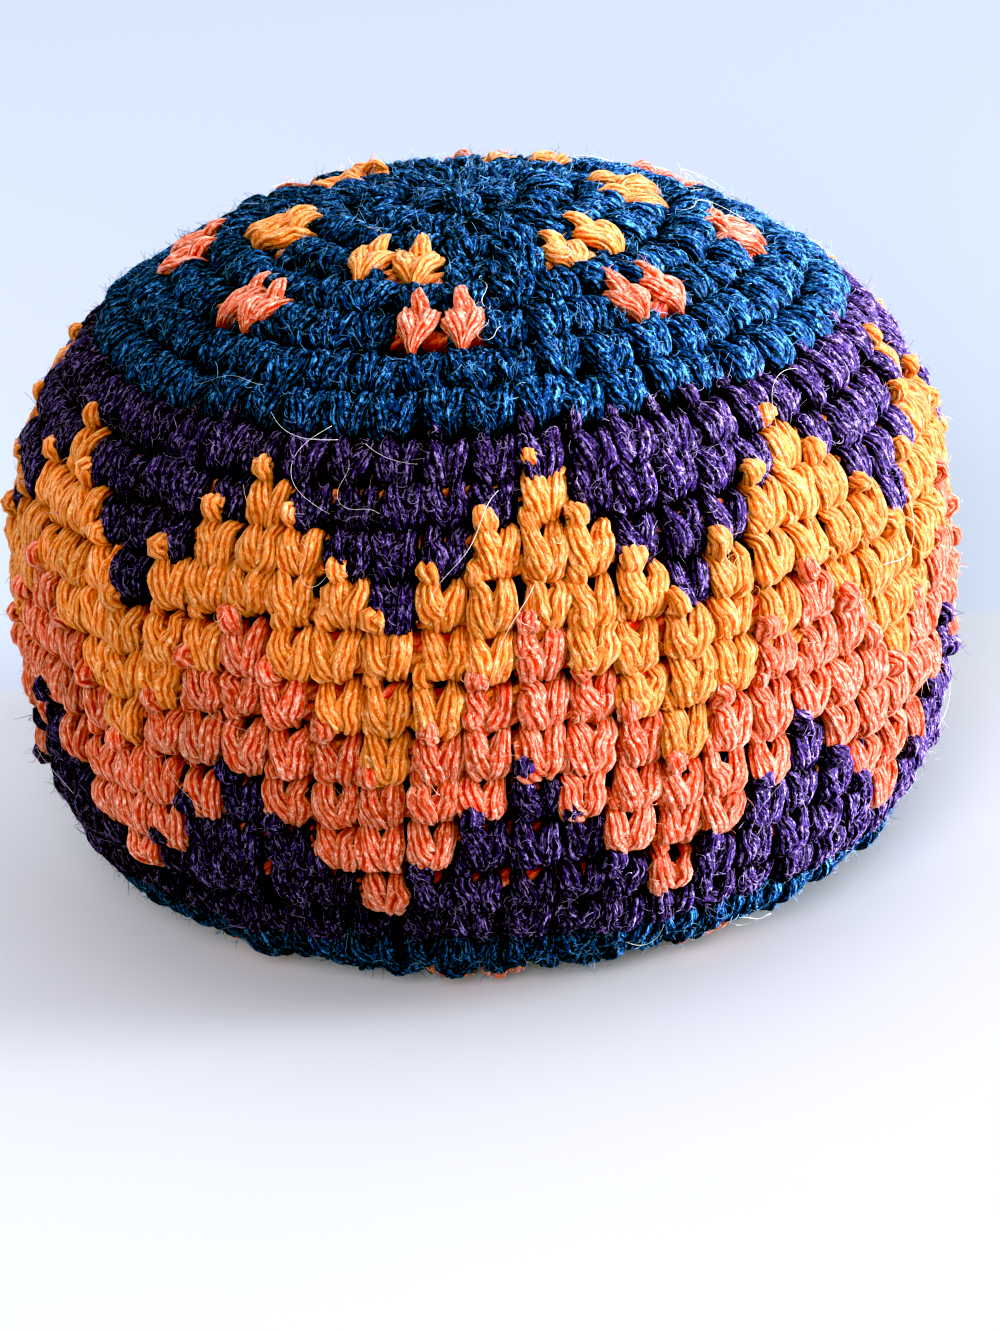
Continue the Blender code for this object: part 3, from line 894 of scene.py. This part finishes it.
def strands_behind(strands, where, index, angles, count, rng):
    """A short length of yarn that passes behind each stitch."""
    up_share, depth_share, radius_share = where
    step = math.tau / count
    along = round_middle(index) - up_share * ROUND_PITCH + wander(index, angles)
    width = float(outline_place(round_middle(index))[0]) * step
    reach = np.linspace(-BEHIND_REACH, BEHIND_REACH, BEHIND_RINGS) * step
    path, outward = on_skin(along[:, None], angles[:, None] + reach, depth_share * width)
    size = np.full(path.shape[:2], radius_share * width)
    rings, wave, up = plied_rings(path, outward, size, size, BEHIND_PLIES, BEHIND_TWIST, rng)
    # Its depth darkens it into painted shade in the yarn material
    strands.add(rings, wave, depth_share - up / width, rng.normal(0.0, 1.0, len(angles)))


def build_crochet():
    yarns = {yarn: yarn_material(yarn) for yarn in FIBRES_A_STITCH}
    fibres = {yarn: fibre_material(yarn) for yarn in FIBRES_A_STITCH}
    for index, count, groups in round_groups():
        rng = np.random.default_rng(STITCH_SEED + index)
        loose = {}
        carried = {}
        used = [group.yarn for group in groups]
        for group in groups:
            strands = Strands()
            tubes = stitch_strands(strands, index, group, count, rng)
            strands_behind(strands, OWN_YARN_BEHIND, index, group.angles, count, rng)
            finish_piece(strands.build(group.name), yarns[group.yarn], group.yarn + "_yarn",
                         (group.node,))
            fuzz = loose.setdefault(group.yarn, Strands())
            fibre_strands(fuzz, tubes, FIBRES_A_STITCH[group.yarn], rng)
            if group.node in BAND_NODES and len(used) == 2:
                other = used[1] if group.yarn == used[0] else used[0]
                behind = carried.setdefault(other, Strands())
                strands_behind(behind, CARRIED_YARN_BEHIND, index, group.angles, count, rng)
        number = str(index + 1)
        for yarn, fuzz in loose.items():
            finish_piece(fuzz.build(yarn + "_fibres_round_" + number), fibres[yarn], yarn + "_yarn")
        for yarn, behind in carried.items():
            finish_piece(behind.build(yarn + "_carried_round_" + number), yarns[yarn], yarn + "_yarn")
    build_closing(yarns["blue"], fibres["blue"])
    build_hairs()
    build_tie(yarn_material("tie"))


def build_closing(yarn, fibre):
    """The folds of yarn that draw the base shut at its middle."""
    rng = np.random.default_rng(CLOSING_SEED)
    jitter = rng.normal(0.0, CLOSING_JITTER, (CLOSING_FOLDS, len(CLOSING_PATH), 4))
    controls = np.array(CLOSING_PATH) + jitter
    smooth = spline_weights(len(CLOSING_PATH), CLOSING_RINGS) @ controls
    reach = np.maximum(smooth[..., 0], POLE_RADIUS)
    depth, half_width, half_thickness = smooth[..., 1], smooth[..., 2], smooth[..., 3]
    angles = (np.arange(CLOSING_FOLDS) * math.tau / CLOSING_FOLDS)[:, None]
    angles = angles + rng.normal(0.0, CLOSING_ANGLE_JITTER, (CLOSING_FOLDS, 1))
    angles = angles + CLOSING_SWIRL * (1.0 - reach / CLOSING_RING_RADIUS)
    path, outward = on_skin(ARC_TOTAL - reach, angles, depth)
    rings, wave, up = plied_rings(path, outward, half_width, half_thickness, CLOSING_PLIES,
                                  CLOSING_TWIST, rng)
    strands = Strands()
    shade = rng.normal(0.0, 1.0, CLOSING_FOLDS)
    strands.add(rings, wave, (depth[..., None] - up) / CLOSING_SHADE_WIDTH, shade)
    finish_piece(strands.build("blue_closing_folds"), yarn, "blue_yarn", ("base_panel",))
    fuzz = Strands()
    fibre_strands(fuzz, [(path, outward, half_thickness)], FIBRES_A_STITCH["blue"], rng)
    finish_piece(fuzz.build("blue_fibres_closing"), fibre, "blue_yarn")


def build_hairs():
    """Long pale hairs that have worked out of the yarn and lie over the stitches."""
    rng = np.random.default_rng(HAIR_SEED)
    each = (HAIR_COUNT, 1)
    share = np.linspace(0.0, 1.0, HAIR_RINGS)
    length = rng.uniform(*HAIR_LENGTH, each)
    start = rng.uniform(*HAIR_STARTS, each) * ARC_TOTAL
    heading = rng.uniform(0.0, math.tau, each)
    bend = rng.normal(0.0, HAIR_BEND, each) * share
    bend = bend + rng.normal(0.0, HAIR_WAVE, each) * np.sin(math.tau * share)
    heading = heading + bend
    along = start + np.cumsum(np.cos(heading), axis=1) * length / HAIR_RINGS
    radius = outline_place(start)[0]
    angle = rng.uniform(0.0, math.tau, each)
    angle = angle + np.cumsum(np.sin(heading), axis=1) * length / HAIR_RINGS / radius
    lift = rng.uniform(*HAIR_LIFT_RANGE, each) * HAIR_LIFT * np.sin(HAIR_ARC * math.pi * share)
    path, outward = on_skin(along, angle, -lift - HAIR_CLEARANCE)
    size = rng.uniform(*HAIR_RADIUS, each) * (1.0 - HAIR_TAPER * share)
    ahead = unit(np.gradient(path, axis=1))
    side = unit(np.cross(ahead, outward))
    strands = Strands()
    thin_tubes(strands, path, size, (np.cross(side, ahead), side), HAIR_SIDES, rng)
    finish_piece(strands.build("loose_hairs"), fibre_material("hair"), "purple_yarn")


# Inside

def turned(name, strips):
    """Surfaces turned round the vertical axis, each a strip of rings closed at its two ends.

    A strip that runs down faces outwards, and one that runs up faces the axis."""
    points, corners, sizes = [], [], []
    first_point = 0
    for rings in strips:
        count, segments, _ = rings.shape
        index = first_point + np.arange(count * segments).reshape(count, segments)
        after = np.roll(index, -1, axis=1)
        quads = np.stack([index[:-1], index[1:], after[1:], after[:-1]], axis=-1)
        corners += [quads.ravel(), index[0], index[-1, ::-1]]
        sizes += [np.full((count - 1) * segments, 4), np.full(2, segments)]
        points.append(pressed(rings.reshape(-1, 3)))
        first_point += count * segments
    return fresh_mesh(name, points, corners, sizes)


def build_backing():
    """The inner face of the crochet, seen only through the holes between stitches."""
    along = np.linspace(0.0, ARC_TOTAL, BACKING_RINGS)[1:-1, None]
    angles = np.arange(BACKING_SEGMENTS) * math.tau / BACKING_SEGMENTS
    outer = on_skin(along, angles, BACKING_OUTER_DEPTH)[0]
    inner = on_skin(along, angles, BACKING_INNER_DEPTH)[0]
    finish_piece(turned("crochet_inner_face", [outer, inner[::-1]]), painted_shade_backing_material())


def liner_profile():
    """Radius, height and outward slopes down the liner: its neck, the dip round it, its body."""
    top = CENTRE_HEIGHT + CROWN_RISE - NECK_CLEARANCE
    root = top - LINER_NECK_HEIGHT
    shoulder_arc = float(np.interp(LINER_SHOULDER_RADIUS, PROFILE_RADIUS[:PROFILE_SAMPLES // 2],
                                   PROFILE_ARC[:PROFILE_SAMPLES // 2]))
    arcs = np.linspace(shoulder_arc, ARC_TOTAL - POLE_RADIUS, LINER_BODY_RINGS)
    radius, height, out, up = outline_place(arcs)
    body = np.stack([radius - LINER_DEPTH * out, height - LINER_DEPTH * up], axis=-1)
    body[-1, 0] = POLE_RADIUS
    foot = np.array([LINER_NECK_RADIUS + LINER_FOLD_RADIUS, root])
    fold_turn = np.linspace(math.pi, 1.5 * math.pi, LINER_NECK_RINGS // 2)[:-1]
    fold = np.stack([foot[0] + LINER_FOLD_RADIUS * np.cos(fold_turn),
                     root + LINER_FOLD_RADIUS * (1.0 + np.sin(fold_turn))], axis=-1)
    neck_heights = np.linspace(top, root + LINER_FOLD_RADIUS, LINER_NECK_RINGS)[:-1]
    neck = np.stack([np.full(len(neck_heights), LINER_NECK_RADIUS), neck_heights], axis=-1)
    share = np.linspace(0.0, 1.0, LINER_DIP_RINGS, endpoint=False)
    rise = (1.0 - np.cos(math.pi * share)) / 2
    dip = foot + (body[0] - foot) * np.stack([share, rise], axis=-1)
    return np.concatenate([neck, fold, dip, body])


def build_liner():
    """A thin pouch, pleated where its neck is drawn in and faintly creased all over."""
    rng = np.random.default_rng(LINER_SEED)
    profile = liner_profile()
    down = unit(np.gradient(profile, axis=0))
    normal = np.stack([-down[:, 1], down[:, 0]], axis=-1)
    travelled = np.concatenate(([0.0], np.cumsum(np.linalg.norm(np.diff(profile, axis=0), axis=1))))
    angles = np.arange(LINER_SEGMENTS) * math.tau / LINER_SEGMENTS
    fade = np.exp(-np.maximum(travelled - LINER_NECK_HEIGHT, 0.0) / LINER_PLEAT_REACH)[:, None]
    wobble = sum(size * np.sin(turns * angles + start) for size, turns, start in LINER_WOBBLE)
    relief = LINER_PLEAT_HEIGHT * fade * np.cos(LINER_PLEATS * angles + wobble)
    for _ in range(LINER_CREASES):
        waves = rng.integers(*LINER_CREASE_WAVES)
        pitch = rng.uniform(*LINER_CREASE_PITCH)
        start = rng.uniform(0.0, math.tau)
        relief = relief + LINER_CREASE_HEIGHT * (1.0 - fade) * np.sin(
            waves * angles + pitch * travelled[:, None] + start) / 2
    relief[-LINER_FLAT_RINGS:] = 0.0
    rings = []
    for side in (LINER_FILM / 2, -LINER_FILM / 2):
        radius = profile[:, :1] + (relief + side) * normal[:, :1]
        height = profile[:, 1:] + (relief + side) * normal[:, 1:]
        rings.append(np.stack([radius * np.sin(angles), -radius * np.cos(angles), height], axis=-1))
    outer, inner = rings
    liner = finish_piece(turned("liner_pouch", [np.concatenate([inner[::-1], outer])]),
                         liner_material(), "liner_film", ("inner_liner",))


def build_tie(material):
    """The twisted cord round the liner's neck."""
    height = CENTRE_HEIGHT + CROWN_RISE - NECK_CLEARANCE - (LINER_NECK_HEIGHT - LINER_FOLD_RADIUS) / 2
    angles = np.linspace(0.0, math.tau, TIE_RINGS)
    outward = np.stack([np.sin(angles), -np.cos(angles), np.zeros(TIE_RINGS)], axis=-1)[None]
    path = outward * TIE_CENTRE_RADIUS + np.array([0.0, 0.0, height])
    size = np.full((1, TIE_RINGS), TIE_RADIUS)
    twist = math.tau * TIE_TURNS
    rings, wave, _ = plied_rings(path, outward, size, size, TIE_PLIES, twist,
                                 np.random.default_rng(TIE_SEED))
    strands = Strands()
    strands.add(rings, wave, 0.0, np.zeros(1))
    finish_piece(strands.build("tie_cord_ring"), material, "tie_cord", ("liner_tie",))


def pellet_places():
    """Centres of the pellets, close packed inside the liner up to a low mound under its neck."""
    cell = PELLET_SPACING * math.sqrt(2.0)
    reach = np.arange(-PELLET_CELLS, PELLET_CELLS + 1)
    grid = np.stack(np.meshgrid(reach, reach, reach, indexing="ij"), axis=-1).reshape(-1, 3)
    halves = np.array([(0.0, 0.0, 0.0), (0.5, 0.5, 0.0), (0.5, 0.0, 0.5), (0.0, 0.5, 0.5)])
    centres = (grid[:, None] + halves).reshape(-1, 3) * cell
    radius = np.hypot(centres[:, 0], centres[:, 1])
    upper = centres[:, 2] >= 0
    power = np.where(upper, CROWN_SQUARENESS, BASE_SQUARENESS)
    rise = np.where(upper, CROWN_RISE, BASE_DROP) - PELLET_DEPTH
    spread = (radius / (BAG_RADIUS - PELLET_DEPTH)) ** power + (np.abs(centres[:, 2]) / rise) ** power
    mound_top = CROWN_RISE - NECK_CLEARANCE - LINER_NECK_HEIGHT - 2 * PELLET_RADIUS
    inside = (spread < 1.0) & (centres[:, 2] < mound_top)
    return centres[inside] + np.array([0.0, 0.0, CENTRE_HEIGHT])


def build_pellets():
    """Every pellet: a short rounded granule, lying its own way."""
    rng = np.random.default_rng(PELLET_SEED)
    centres = pellet_places()
    count = len(centres)
    centres = centres + rng.uniform(-PELLET_SHIFT, PELLET_SHIFT, (count, 3))
    axis = unit(rng.normal(0.0, 1.0, (count, 3)))
    side = unit(np.cross(axis, rng.normal(0.0, 1.0, (count, 3))))
    size = rng.uniform(*PELLET_SIZE_RANGE, count)[:, None, None, None]
    slant = (np.linspace(-PELLET_SLANT, PELLET_SLANT, PELLET_RINGS) * math.pi)[:, None, None]
    radius = PELLET_RADIUS * np.cos(slant) ** PELLET_ROUNDNESS
    height = PELLET_HALF_HEIGHT * np.sin(slant)
    across = around(side[:, None], np.cross(axis, side)[:, None], PELLET_SIDES)
    rings = centres[:, None, None] + size * (radius * across + height * axis[:, None, None])
    strands = Strands()
    strands.add(rings, 1.0, 0.0, rng.normal(0.0, 1.0, count))
    finish_piece(strands.build("pellets"), pellet_material(), "pellets", ("pellet_filling",))


def liner_material():
    """A thin woven pouch: fine threads both ways, faintly soiled."""
    graph = Graph(bpy.data.materials.new("liner_cloth"))
    place = graph.place()
    wave = {"Vector": place, "Scale": 700.0, "Distortion": 0.6, "Detail": 1.0}
    threads = [graph.add("TexWave", wave, "Fac", bands_direction=way) for way in ("X", "Z")]
    weave = graph.math("ADD", *threads)
    soil = graph.noise(place, 90.0, 4.0)
    colour = graph.mix(soil, linear(206, 203, 196), linear(232, 230, 226))
    graph.shade({
        "Base Color": graph.mix(graph.ramp(weave, 0.2, 1.2), linear(180, 176, 168), colour),
        "Roughness": 0.7,
        "Sheen Weight": 0.2,
        "Normal": graph.bump(weave, 0.5, 0.00005),
    })
    return graph.owner


def pellet_material():
    """Milky plastic granules, each a little lighter or darker, with a dull bloom."""
    graph = Graph(bpy.data.materials.new("pellet_plastic"))
    bloom = graph.noise(graph.place(), 1500.0, 3.0)
    share = graph.ramp(graph.value("shade"), -2.0, 2.0)
    colour = graph.mix(share, linear(186, 190, 196), linear(230, 232, 232))
    graph.shade({
        "Base Color": graph.mix(graph.ramp(bloom, 0.55, 0.75), colour, linear(240, 240, 238)),
        "Roughness": graph.spread(bloom, 0.25, 0.55),
    })
    return graph.owner


# Stage, light and camera

def camera_axes():
    """The camera's right, up and forward directions, aimed so that the bag's centre falls where
    the photograph has it."""
    sin_pitch, cos_pitch = math.sin(CAMERA_PITCH), math.cos(CAMERA_PITCH)
    sin_roll, cos_roll = math.sin(CAMERA_ROLL), math.cos(CAMERA_ROLL)
    right = Vector((cos_roll, 0.0, -sin_roll))
    up = Vector((sin_roll * cos_pitch, sin_pitch, cos_roll * cos_pitch))
    forward = Vector((-sin_roll * sin_pitch, cos_pitch, -cos_roll * sin_pitch))
    offset_x = CENTRE_PIXEL[0] - IMAGE_WIDTH / 2
    offset_y = IMAGE_HEIGHT / 2 - CENTRE_PIXEL[1]
    aim = (FOCAL_PIXELS * forward - offset_x * right - offset_y * up).normalized()
    right = aim.cross(up).normalized()
    return right, right.cross(aim), aim, CENTRE - CAMERA_DISTANCE * forward


def pixel_on_floor(x, y):
    """The point of the floor seen at a pixel of the photograph."""
    right, up, aim, eye = camera_axes()
    ray = aim * FOCAL_PIXELS + right * (x - IMAGE_WIDTH / 2) + up * (IMAGE_HEIGHT / 2 - y)
    return eye - ray * (eye.z / ray.z)


def build_camera():
    right, up, aim, eye = camera_axes()
    data = bpy.data.cameras.new("camera")
    data.sensor_width = SENSOR_WIDTH
    data.lens = FOCAL_PIXELS * SENSOR_WIDTH / IMAGE_HEIGHT
    data.clip_start, data.clip_end = CAMERA_CLIP
    camera = bpy.data.objects.new("camera", data)
    bpy.context.scene.collection.objects.link(camera)
    camera.matrix_world = Matrix((
        (right.x, up.x, -aim.x, eye.x),
        (right.y, up.y, -aim.y, eye.y),
        (right.z, up.z, -aim.z, eye.z),
        (0.0, 0.0, 0.0, 1.0),
    ))
    bpy.context.scene.camera = camera


def build_floor():
    """A pale table that ends behind the bag, and the paler ground beyond it, as one plane."""
    size = FLOOR_REACH
    corners = [(-size, -size, 0.0), (size, -size, 0.0), (size, size, 0.0), (-size, size, 0.0)]
    mesh = bpy.data.meshes.new("floor")
    mesh.from_pydata(corners, [], [(0, 1, 2, 3)])
    floor = bpy.data.objects.new("floor", mesh)
    bpy.context.scene.collection.objects.link(floor)
    start, end = [pixel_on_floor(*pixel) for pixel in TABLE_EDGE_PIXELS]
    across = Vector((start.y - end.y, end.x - start.x, 0.0)).normalized()
    edge = across.dot(start)
    graph = Graph(bpy.data.materials.new("floor"))
    place = graph.place()
    beyond = graph.ramp(graph.towards(place, across), edge - TABLE_EDGE_SOFTNESS,
                        edge + TABLE_EDGE_SOFTNESS)
    dark, light = [linear(*tone) for tone in TABLE_TONES]
    table = graph.mix(graph.noise(place, 30.0, 3.0), dark, light)
    graph.shade({
        "Base Color": graph.mix(beyond, table, linear(*GROUND_TONE)),
        "Roughness": 0.7,
        "Specular IOR Level": 0.0,
    })
    mesh.materials.append(graph.owner)
    return floor


# The room: where its window is, how it brightens towards that, and its dim and bright tones
WINDOW_SIDE = (0.88, 0.12, 0.46)
ROOM_RANGE = (-0.7, 0.9)
ROOM_DIM = (0.68, 0.68, 0.71, 1.0)
ROOM_BRIGHT = (1.62, 1.62, 1.68, 1.0)
# Area lights: place, size, power and colour
WINDOW_LIGHT = ((0.76, -0.18, 0.30), 0.30, 9.2, (1.0, 0.97, 0.95))
FLOOR_LIGHT = ((-0.15, -1.46, 0.58), 0.70, 84.0, (1.0, 0.86, 0.89))
FUZZ_LIGHT = ((0.58, 0.10, 0.06), 0.12, 14.0, (0.95, 1.0, 1.0))
BLACK_LEVEL = (0.026, 0.020, 0.061)
WHITE_LEVEL = 1.6
# Shares of the white level and the tones shown for them, so that highlights fade in gently
HIGHLIGHT_CURVE = ((0.1, 0.16), (0.2, 0.32), (0.3, 0.48), (0.5, 0.77), (0.625, 0.89))
# The same for red alone, applied to those tones
RED_CURVE = ((0.3, 0.3), (0.6, 0.595), (0.8, 0.75))
RED_LIMIT = 0.89


def add_light(name, place, size, energy, colour):
    data = bpy.data.lights.new(name, "AREA")
    data.size = size
    data.energy = energy
    data.color = colour
    light = bpy.data.objects.new(name, data)
    bpy.context.scene.collection.objects.link(light)
    light.location = place
    light.rotation_mode = "QUATERNION"
    light.rotation_quaternion = (Vector(place) - CENTRE).to_track_quat("Z", "Y")
    return light


def build_lights(floor):
    """A room that is brighter towards the window on the right, the window's own light, a soft
    light for the floor alone, and one for the fuzz of the dark yarns alone."""
    world = bpy.data.worlds.new("studio")
    bpy.context.scene.world = world
    graph = Graph(world)
    side = graph.ramp(graph.towards(graph.place("Generated"), WINDOW_SIDE), *ROOM_RANGE)
    graph.fill(graph.nodes["Background"], {
        "Color": graph.mix(side, ROOM_DIM, ROOM_BRIGHT),
        "Strength": 1.0,
    })
    add_light("window", *WINDOW_LIGHT)
    floor_only = bpy.data.collections.new("floor_only")
    floor_only.objects.link(floor)
    dark_yarn = bpy.data.collections.new("dark_yarn")
    add_light("floor_light", *FLOOR_LIGHT).light_linking.receiver_collection = floor_only
    add_light("fuzz_light", *FUZZ_LIGHT).light_linking.receiver_collection = dark_yarn
    view = bpy.context.scene.view_settings
    view.view_transform = "Standard"
    view.look = "High Contrast"
    view.use_curve_mapping = True
    view.curve_mapping.black_level = BLACK_LEVEL
    view.curve_mapping.white_level = (WHITE_LEVEL, WHITE_LEVEL, WHITE_LEVEL)
    for share, tone in HIGHLIGHT_CURVE:
        view.curve_mapping.curves[3].points.new(share, tone)
    for share, tone in RED_CURVE:
        view.curve_mapping.curves[0].points.new(share, tone)
    view.curve_mapping.curves[0].points[-1].location.y = RED_LIMIT
    view.curve_mapping.update()


def main():
    build_camera()
    build_lights(build_floor())
    build_crochet()
    build_backing()
    build_liner()
    build_pellets()


main()
